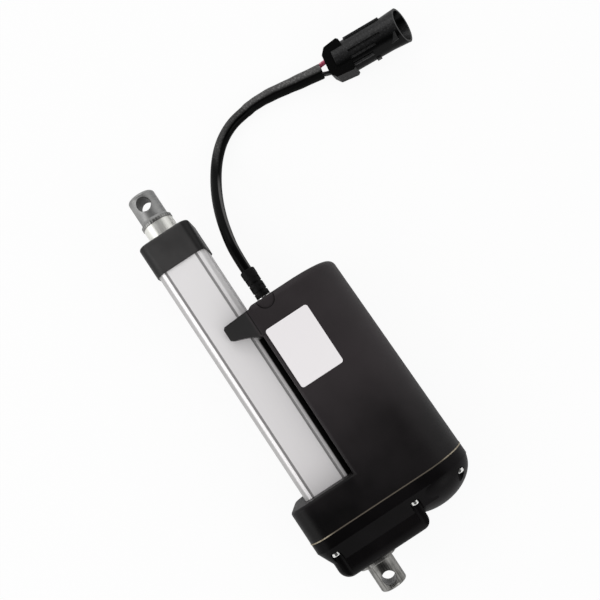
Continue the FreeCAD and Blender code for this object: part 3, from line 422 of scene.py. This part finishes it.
bpy.ops.mesh.primitive_plane_add(size=card_size,
                                 location=room_middle + Vector((0, 0, card_height)))
card = bpy.context.object
card.name = "grey_card"
card_grey, shader, place = new_finish("grey card", {"Roughness": 1.0, "Emission Strength": 1.0,
                                                    "Specular IOR Level": 0.0})
place.noise(3.0).colours((0.02, 0.02, 0.02), (0.05, 0.05, 0.05)).feeds(shader, "Emission Color")
shader.inputs["Base Color"].default_value = (0, 0, 0, 1)
card.data.materials.append(card_grey)
card.visible_camera = False
card.visible_diffuse = False
card.visible_shadow = False

for lamp_place, lamp_size, lamp_watts in lamps:
    bpy.ops.object.light_add(type="AREA", location=lamp_place)
    lamp = bpy.context.object
    lamp.data.size = lamp_size
    lamp.data.energy = lamp_watts
    lamp.rotation_euler = (room_middle - lamp.location).to_track_quat("-Z", "Y").to_euler()

world = bpy.data.worlds.new("white room")
bpy.context.scene.world = world
world.use_nodes = True
tree = world.node_tree
soft = Signal(tree, tree.nodes["Background"].outputs[0])
tree.nodes["Background"].inputs["Color"].default_value = (1, 1, 1, 1)
tree.nodes["Background"].inputs["Strength"].default_value = room_light
white = Signal(tree).node("Background", None, {"Color": (1, 1, 1), "Strength": 1.0})
camera_rays, glossy_rays, clear_rays = (
    Signal(tree).node("LightPath", out=name)
    for name in ("Is Camera Ray", "Is Glossy Ray", "Is Transmission Ray"))
seen = camera_rays + glossy_rays + clear_rays
both = seen.node("MixShader", None, {0: seen, 1: soft, 2: white})
tree.links.new(both.socket, tree.nodes["World Output"].inputs["Surface"])


# --- Motor cover -------------------------------------------------------------------------
# The motor cover with its gearbox end and the arm over the tube, moulded in one piece of
# black glass-filled nylon with a fine texture. It is painted greyer towards the cable as a
# painted reflection, and its arm darker as painted shade. A crease runs between arm and
# cover, and another round the pad of the cable, both painted dark as painted shade.
cover_left = -0.0200
arm_rear = 0.1868
tube_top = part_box("outer_tube")[1][2]
crease_half = 0.0006
pad_middle = (0.2055, -0.0348)
pad_radius = 0.0063
pad_bottom = 0.026
painted_sheen_from_to = (0.055, 0.15)


def distance_from(place, x, y):
    """How far this place lies from an upright line at x and y."""
    off_x, off_y = place.part("X") - x, place.part("Y") - y
    return (off_x * off_x + off_y * off_y).maths("POWER", 0.5)


cover_plastic, shader, place = new_finish("fine textured black nylon",
                                          {"Specular IOR Level": 0.15})
cloud = place.noise(22, detail=3.0)
pebble = place.noise(1150, detail=2.0)
pale_grains = place.noise(2600, detail=4.0, rough=0.8).steps(0.66, 0.80)
x, y, z = (place.part(axis) for axis in "XYZ")
# Painted reflection: greyer towards the cable, and none on the arm, which stays dark as painted
# shade.
painted_sheen = x.steps(*painted_sheen_from_to) * (1 - y.steps(cover_left, cover_left + 0.003))
# Both creases are painted near black as painted shade, and sunk a little by bump.
arm_line = (abs(y - cover_left).steps(crease_half, 0) * x.steps(arm_rear, arm_rear + 0.0005)
            * abs(z).steps(tube_top, tube_top + 0.0005))
pad_line = (abs(distance_from(place, *pad_middle) - pad_radius).steps(crease_half, 0)
            * z.steps(pad_bottom, pad_bottom + 0.002))
crease = arm_line + pad_line * 0.8
(painted_sheen * 0.75 + cloud.steps(0.3, 0.7) * 0.25 + pale_grains * painted_sheen * 0.3 - crease * 0.9).colours(
    (0.0022, 0.0020, 0.0021), (0.0330, 0.0277, 0.0297)).feeds(shader, "Base Color")
(0.34 + painted_sheen * 0.08 + cloud * 0.12 + pebble * 0.06).feeds(shader, "Roughness")
(pebble * 0.05 - crease).bumps(shader, 0.55, 0.0005)
dress(cover_plastic, "front_housing")


# --- Rear cover --------------------------------------------------------------------------
# The cover behind the gears, with a pod for the screw's end and a dome over the gears. It is
# moulded of the same nylon in a smoother mould, and looks a deeper black.
rear_plastic, shader, place = new_finish("smooth black nylon", {"Specular IOR Level": 0.06})
cloud = place.noise(30, detail=3.0)
pebble = place.noise(900, detail=2.0)
cloud.steps(0.3, 0.7).colours((0.0026, 0.0023, 0.0025), (0.0052, 0.0045, 0.0049)).feeds(
    shader, "Base Color")
(0.30 + cloud * 0.16).feeds(shader, "Roughness")
pebble.bumps(shader, 0.30, 0.00004)
dress(rear_plastic, "rear_cover")


# --- Gasket ------------------------------------------------------------------------------
# A sheet of cream fibre, cut to the outline of both covers and squeezed between them. Its
# edge is drawn dim in the middle and paler at its two ends.
gasket_low, gasket_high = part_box("housing_gasket")
gasket_middle = (gasket_low[1] + gasket_high[1]) / 2
gasket_dim_half = 0.040
fibre, shader, place = new_finish("cream fibre gasket", {"Roughness": 0.85})
paper = place.noise(600, detail=5.0).steps(0.3, 0.7).colours((0.20, 0.165, 0.115),
                                                            (0.42, 0.37, 0.28))
# The edge is drawn dim in the middle and paler towards both ends.
paler_ends = abs(place.part("Y") - gasket_middle).steps(gasket_dim_half, gasket_dim_half + 0.010)
paler_ends.colours((0.085, 0.070, 0.052), paper).feeds(shader, "Base Color")
place.noise(1500).bumps(shader, 0.5, 0.0001)
dress(fibre, "housing_gasket")


# --- Screws ------------------------------------------------------------------------------
# Socket screws that pull the covers together, the small screws of the cap and the gearbox
# plate, and the nut of the rear eye. All are bought parts of zinc-plated steel.
zinc, shader, place = new_finish("bright zinc", {"Metallic": 1.0})
cloud = place.noise(700, detail=3.0)
cloud.colours((0.62, 0.62, 0.60), (0.86, 0.86, 0.84)).feeds(shader, "Base Color")
(0.18 + cloud * 0.22).feeds(shader, "Roughness")
cloud.bumps(shader, 0.2, 0.0001)
dress(zinc, "cover_screws", "gearbox_plate_screws", "front_cap_screws", "rear_eye_nut")


# --- Strain relief -----------------------------------------------------------------------
# A sleeve of black rubber, snapped into the end of the motor cover on a thin zinc washer.
# Rows of windows between its ribs let it bend, each row turned against the next, and it ends
# in a plain collar.
relief_low, relief_high = (Vector(corner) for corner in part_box("strain_relief"))
relief_axis = Vector((0, (relief_low.y + relief_high.y) / 2, (relief_low.z + relief_high.z) / 2))
relief_end = relief_high.x
cover_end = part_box("front_housing")[1][0]
relief_radius = 0.0051
relief_collar = 0.0053
relief_collar_length = 0.0055
relief_rows = 5
window_depth = 0.0006
window_start, window_stop = 0.32, 0.68
windows_round = 4
window_rib = 0.13
relief_sides = 48


def turned_piece(name, outline, axis, sides, material):
    """A piece turned about a line along X: its outline is a row of (x, radius)."""
    points = [Vector((x, radius, 0)) + axis for x, radius in outline]
    edges = [(i, i + 1) for i in range(len(points) - 1)]
    piece = new_piece(name, points, edges, [], material)
    bpy.ops.mesh.spin(steps=sides, angle=math.tau, center=axis, axis=(1, 0, 0))
    bpy.ops.mesh.select_all(action="SELECT")
    bpy.ops.mesh.remove_doubles(threshold=0.00001)
    bpy.ops.mesh.normals_make_consistent(inside=False)
    bpy.ops.object.mode_set(mode="OBJECT")
    return piece


def select_faces(piece, wanted):
    """Opens a piece with the faces selected whose middle passes a test."""
    bpy.ops.object.select_all(action="DESELECT")
    piece.select_set(True)
    bpy.context.view_layer.objects.active = piece
    bpy.ops.object.mode_set(mode="EDIT")
    bpy.ops.mesh.select_mode(type="FACE")
    bpy.ops.mesh.select_all(action="DESELECT")
    bpy.ops.object.mode_set(mode="OBJECT")
    for face in piece.data.polygons:
        face.select = wanted(face.center)
    bpy.ops.object.mode_set(mode="EDIT")


rubber, shader, place = new_finish("black rubber", {"Specular IOR Level": 0.08})
cloud = place.noise(260, detail=3.0)
cloud.colours((0.0015, 0.0015, 0.0015), (0.010, 0.010, 0.010)).feeds(shader, "Base Color")
(0.38 + cloud * 0.25).feeds(shader, "Roughness")
place.noise(1200).bumps(shader, 0.6, 0.00008)
dress(rubber, "rod_wiper_seal")

collar_start = relief_end - relief_collar_length
row_pitch = (collar_start - cover_end) / relief_rows
outline = [(cover_end - 0.0010, 0.0), (cover_end - 0.0010, relief_radius)]
for k in range(relief_rows):
    row = cover_end + row_pitch * k
    outline += [(row + row_pitch * window_start, relief_radius),
                (row + row_pitch * window_stop, relief_radius)]
outline += [(collar_start - 0.0003, relief_radius), (collar_start, relief_collar - 0.0002),
            (collar_start + 0.0004, relief_collar), (relief_end - 0.0005, relief_collar),
            (relief_end, relief_collar - 0.0005), (relief_end, 0.0)]
relief = turned_piece("strain_relief_windows", outline, relief_axis, relief_sides, rubber)


def in_window(middle):
    """Whether this spot on the relief is where one of its windows goes."""
    arm = middle - relief_axis
    rows_along = (middle.x - cover_end) / row_pitch
    row = math.floor(rows_along)
    if not (0 <= row < relief_rows and window_start < rows_along - row < window_stop):
        return False
    turn = (math.atan2(arm.z, arm.y) / math.tau * windows_round + row % 2 / 2) % 1
    return window_rib < turn < 1 - window_rib


select_faces(relief, in_window)
bpy.ops.mesh.extrude_region_shrink_fatten(
    TRANSFORM_OT_shrink_fatten={"value": -window_depth})
bpy.ops.object.mode_set(mode="OBJECT")
bpy.ops.object.shade_smooth_by_angle(angle=math.radians(35))
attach(relief, "housing")
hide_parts("strain_relief")

washer_rear, washer_rounding, washer_front = (cover_end + x for x in (-0.0008, 0.0001, 0.0004))
washer_face, washer_radius = relief_radius + 0.0006, relief_radius + 0.0010
outline = [(washer_rear, relief_radius), (washer_front, relief_radius),
           (washer_front, washer_face), (washer_rounding, washer_radius),
           (washer_rear, washer_radius), (washer_rear, relief_radius)]
washer = turned_piece("relief_washer", outline, relief_axis, relief_sides, zinc)
bpy.ops.object.shade_smooth_by_angle(angle=math.radians(35))
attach(washer, "housing")


# --- Rating label ------------------------------------------------------------------------
# A blank label of pale satin film with round corners, stuck on the upper side of the motor
# cover near the arm.
film, shader, place = new_finish("pale satin film", {"Specular IOR Level": 0.4, "Roughness": 0.38})
tint = place.part("X").steps(0.142, 0.188)
(tint * 0.7 + place.noise(60) * 0.3).colours((0.94, 0.912, 0.922), (0.925, 0.893, 0.908)).feeds(
    shader, "Base Color")
place.noise(700).bumps(shader, 0.05, 0.00005)
dress(film, "rating_label")


# --- Outer tube --------------------------------------------------------------------------
# A square aluminium extrusion with rounded corners and two grooves a side, satin anodised,
# with fine drawing lines along it. The grooves are drawn dark for dirt and as painted shade.
# The corners, the one on the +Y side more, and the side beside the motor cover are painted
# dark as painted shade, and the tube is painted paler towards the rod's end as painted light.
groove_offset = 0.0123
groove_half = 0.0009
groove_dark, groove_clear = 0.004, 0.0075
corner_start = 0.0148
anodised, shader, place = new_finish("satin anodised aluminium", {"Specular IOR Level": 0.5})
lines = place.noise(2600, (0.004, 1, 1), detail=4.0, rough=0.6)
cloud = place.noise(18, (0.4, 1, 1), detail=2.0)
x, y, z = (place.part(axis) for axis in "XYZ")
# Painted light: the tube grows paler towards the rod's end.
along = x.steps(0.06, 0.27)
# The grooves are drawn dark for dirt and as painted shade.
groove = 1 - (abs(abs(y) - groove_offset) * abs(abs(z) - groove_offset)).steps(
    groove_half * groove_dark, groove_half * groove_clear)
shade = (0.3 + along * 0.5 + cloud * 0.2 + (lines - 0.5) * 0.25).colours(
    (0.83, 0.805, 0.81), (0.99, 0.97, 0.975))
# Painted shade: the corners, the +Y one more, and the strip of the tube beside the motor cover.
corner = (abs(y).steps(corner_start, corner_start + 0.0014) * (0.5 + y.steps(0, 0.001) * 0.5)
          * (0.75 + (lines - 0.5) * 0.8))
beside_cover = (y.steps(-corner_start, -corner_start - 0.0010)
                * x.steps(arm_rear + 0.0010, arm_rear - 0.0010))
with_painted_shade = beside_cover.colours(corner.colours(shade, (0.36, 0.355, 0.35)), (0.010, 0.009, 0.009))
(groove * 0.7).colours(with_painted_shade, (0.12, 0.115, 0.115)).feeds(shader, "Base Color")
(0.28 + lines * 0.14).feeds(shader, "Roughness")
(0.16 - groove * 0.1).feeds(shader, "Metallic")
lines.bumps(shader, 0.05, 0.00003)
dress(anodised, "outer_tube")


# --- Front cap ---------------------------------------------------------------------------
# A charcoal nylon cap pushed over the end of the tube and held by four screws. Its rounded
# corners are painted darker than its faces, as painted shade.
cap_face_half = 0.0135
charcoal, shader, place = new_finish("charcoal nylon", {"Specular IOR Level": 0.24})
cloud = place.noise(70, detail=3.0)
pebble = place.noise(1300, detail=2.0)
face = cloud.steps(0.3, 0.7).colours((0.040, 0.039, 0.039), (0.050, 0.0485, 0.0485))
# Painted shade: the rounded corners, beyond the flat face, are drawn near black.
cap_corner = abs(place.part("Y")).steps(cap_face_half, cap_face_half + 0.0025)
cap_corner.colours(face, (0.007, 0.0068, 0.0068)).feeds(shader, "Base Color")
(0.32 + cloud * 0.12).feeds(shader, "Roughness")
pebble.bumps(shader, 0.35, 0.00004)
dress(charcoal, "front_cap")


# --- Extension tube ----------------------------------------------------------------------
# A tube of ground stainless steel with a warm sheen. It slides through a bush in the cap, and
# grinding left fine marks round it.
ground, shader, place = new_finish("ground stainless steel", {"Metallic": 0.75})
streak = place.noise(700, (0.05, 1, 1), detail=4.0)
rings_turned = place.noise(2200, (1, 0.05, 0.05), detail=2.0)
streak.steps(0.35, 0.65).colours((0.84, 0.84, 0.79), (0.95, 0.94, 0.90)).feeds(shader, "Base Color")
(0.30 + streak * 0.2).feeds(shader, "Roughness")
(streak + rings_turned * 0.5).bumps(shader, 0.15, 0.00005)
dress(ground, "extension_tube")


# --- Rod eye and ring --------------------------------------------------------------------
# The eye is turned from plain steel bar and drilled across for a pin, and its bore is painted
# dark as painted shade. A fine knurled ring sits between it and the extension tube.
pin_bore = 0.0051
pin_from_end = 0.0084
knurl_count = 36
ring_low, ring_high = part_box("rod_ring")
ring_middle = (ring_low[0] + ring_high[0]) / 2
rod_pin_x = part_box("rod_eye")[1][0] - pin_from_end
satin_steel, shader, place = new_finish("satin turned steel", {"Metallic": 0.9})
turned_lines = place.noise(2400, (1, 0.04, 0.04), detail=3.0)
cloud = place.noise(120, detail=4.0)
# Painted shade: the steel inside the pin's bore is drawn dark.
outside = distance_from(place, rod_pin_x, 0).steps(pin_bore, pin_bore + 0.0004)
steel = (cloud * 0.7 + turned_lines * 0.3).steps(0.3, 0.7).colours((0.25, 0.25, 0.247),
                                                                 (0.38, 0.38, 0.375))
outside.colours((0.045, 0.044, 0.042), steel).feeds(shader, "Base Color")
(0.40 + cloud * 0.16).feeds(shader, "Roughness")
(turned_lines * 0.5 + cloud).bumps(shader, 0.15, 0.00006)
dress(satin_steel, "rod_eye")

knurled, shader, place = new_finish("knurled steel ring", {"Metallic": 0.9, "Roughness": 0.38})
turn = place.part("Z").maths("ARCTAN2", place.part("Y")) * (knurl_count / math.tau)
tooth = turn.maths("PINGPONG", 0.5) * 2
edge = abs(place.part("X") - ring_middle).steps(0.0007, 0.0011)
(tooth * (1 - edge) + place.noise(400) * 0.3).colours(
    (0.15, 0.148, 0.145), (0.34, 0.34, 0.33)).feeds(shader, "Base Color")
(tooth * 0.8 - edge).bumps(shader, 0.45, 0.0003)
dress(knurled, "rod_ring")


# --- Rear eye ----------------------------------------------------------------------------
# A shouldered eye bolt of nickel-plated steel, drawn into the rear cover by a nut inside.
# Its bar is painted with streaks along its length as painted reflection, plain on its end face,
# and its bore is painted dark as painted shade.
eye_end = -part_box("rear_eye")[0][0]
nickel, shader, place = new_finish("nickel plated steel", {"Metallic": 0.95})
streak = place.noise(620, (0.06, 1, 1), detail=2.0)
cloud = place.noise(160, detail=4.0)
# Painted shade: the steel inside the bore is drawn dark.
outside = distance_from(place, 0, 0).steps(pin_bore, pin_bore + 0.0004)
off_face = abs(place.part("X") + eye_end).steps(0, 0.0004)
# Painted reflection: streaks along the bar, with the end face left plain.
painted_reflection_streaks = (streak * 0.7 + cloud * 0.3).steps(0.36, 0.64) * off_face + (1 - off_face) * 0.5
steel = painted_reflection_streaks.colours((0.10, 0.098, 0.093), (0.33, 0.325, 0.31))
outside.colours((0.04, 0.039, 0.037), steel).feeds(shader, "Base Color")
(0.26 + cloud * 0.22).feeds(shader, "Roughness")
(streak + cloud).bumps(shader, 0.2, 0.00006)
dress(nickel, "rear_eye")


# --- Screw, nut and bearing --------------------------------------------------------------
# Inside the tube a rolled steel screw turns in a ball bearing and drives a bronze nut. The
# rod's bush, the guide of the screw's tip and the limit switches are dressed as white acetal.
pitch = 0.004
rolled, shader, place = new_finish("rolled steel thread", {"Metallic": 1.0, "Roughness": 0.32})
turn_share = place.part("Z").maths("ARCTAN2", place.part("Y")) * (1 / math.tau)
crest = (place.part("X") * (1 / pitch) + turn_share).maths("PINGPONG", 0.5)
(crest * 2).colours((0.16, 0.155, 0.15), (0.60, 0.59, 0.57)).feeds(shader, "Base Color")
crest.bumps(shader, 0.8, 0.001)
dress(rolled, "lead_screw")

bright_steel, shader, place = new_finish("bright bearing steel", {"Metallic": 1.0})
cloud = place.noise(400, detail=3.0)
cloud.colours((0.55, 0.55, 0.55), (0.75, 0.75, 0.75)).feeds(shader, "Base Color")
(0.12 + cloud * 0.2).feeds(shader, "Roughness")
dress(bright_steel, "bearing_balls", "bearing_inner_ring", "bearing_outer_ring", "screw_lock_nut",
      "nut_retaining_ring", "idler_shaft", "motor_shaft")

bronze, shader, place = new_finish("bearing bronze", {"Metallic": 1.0})
cloud = place.noise(300, detail=4.0)
cloud.colours((0.42, 0.24, 0.09), (0.66, 0.42, 0.18)).feeds(shader, "Base Color")
(0.25 + cloud * 0.25).feeds(shader, "Roughness")
dress(bronze, "drive_nut", "motor_bushes")

white_acetal, shader, place = new_finish("white acetal", {"Specular IOR Level": 0.5})
cloud = place.noise(200)
cloud.colours((0.66, 0.65, 0.60), (0.76, 0.75, 0.71)).feeds(shader, "Base Color")
(0.35 + cloud * 0.15).feeds(shader, "Roughness")
dress(white_acetal, "rod_guide_bush", "screw_tip_guide", "limit_switches")


# --- Gears -------------------------------------------------------------------------------
# Sintered steel gears between the motor and the screw, and the plate that carries their
# shaft. Grease browns them in patches.
sintered, shader, place = new_finish("greased sintered steel", {"Metallic": 1.0})
grease = place.noise(90, detail=4.0).steps(0.45, 0.6)
grease.colours((0.34, 0.33, 0.31), (0.30, 0.22, 0.10)).feeds(shader, "Base Color")
(0.48 - grease * 0.25).feeds(shader, "Roughness")
place.noise(1400).bumps(shader, 0.4, 0.0001)
dress(sintered, "output_gear", "idler_gear", "motor_pinion", "gearbox_plate")


# --- Motor -------------------------------------------------------------------------------
# A two-pole motor in a drawn steel can: ferrite magnets, a laminated core with copper
# windings, a copper commutator and two brushes on a fibre plate. The brushes are dressed as
# black as the magnets, and the strip of the limit switches has the copper of the windings.
can_steel, shader, place = new_finish("zinc plated can", {"Metallic": 1.0})
cloud = place.noise(140, (0.2, 1, 1), detail=3.0)
cloud.colours((0.48, 0.48, 0.46), (0.66, 0.66, 0.62)).feeds(shader, "Base Color")
(0.30 + cloud * 0.2).feeds(shader, "Roughness")
dress(can_steel, "motor_can")

ferrite, shader, place = new_finish("ferrite", {"Roughness": 0.6})
place.noise(500, detail=4.0).colours((0.018, 0.018, 0.020), (0.045, 0.045, 0.048)).feeds(
    shader, "Base Color")
dress(ferrite, "motor_magnets", "motor_brushes")

laminated, shader, place = new_finish("laminated core", {"Metallic": 1.0})
sheet_line = (place.part("X") * 2000).maths("PINGPONG", 0.5)
(sheet_line * 2).colours((0.10, 0.10, 0.11), (0.36, 0.36, 0.38)).feeds(shader, "Base Color")
(0.35 + sheet_line * 0.3).feeds(shader, "Roughness")
dress(laminated, "armature_core")

copper, shader, place = new_finish("enamelled copper", {"Metallic": 1.0})
strand = place.noise(900, (1, 0.3, 0.3), detail=2.0)
strand.colours((0.45, 0.16, 0.06), (0.78, 0.36, 0.18)).feeds(shader, "Base Color")
(0.22 + strand * 0.2).feeds(shader, "Roughness")
strand.bumps(shader, 0.6, 0.0003)
dress(copper, "armature_windings", "commutator", "limit_switch_strip")

fibre_board, shader, place = new_finish("brown fibre board", {"Roughness": 0.7})
place.noise(700, detail=4.0).colours((0.16, 0.085, 0.035), (0.28, 0.16, 0.075)).feeds(
    shader, "Base Color")
dress(fibre_board, "brush_plate")
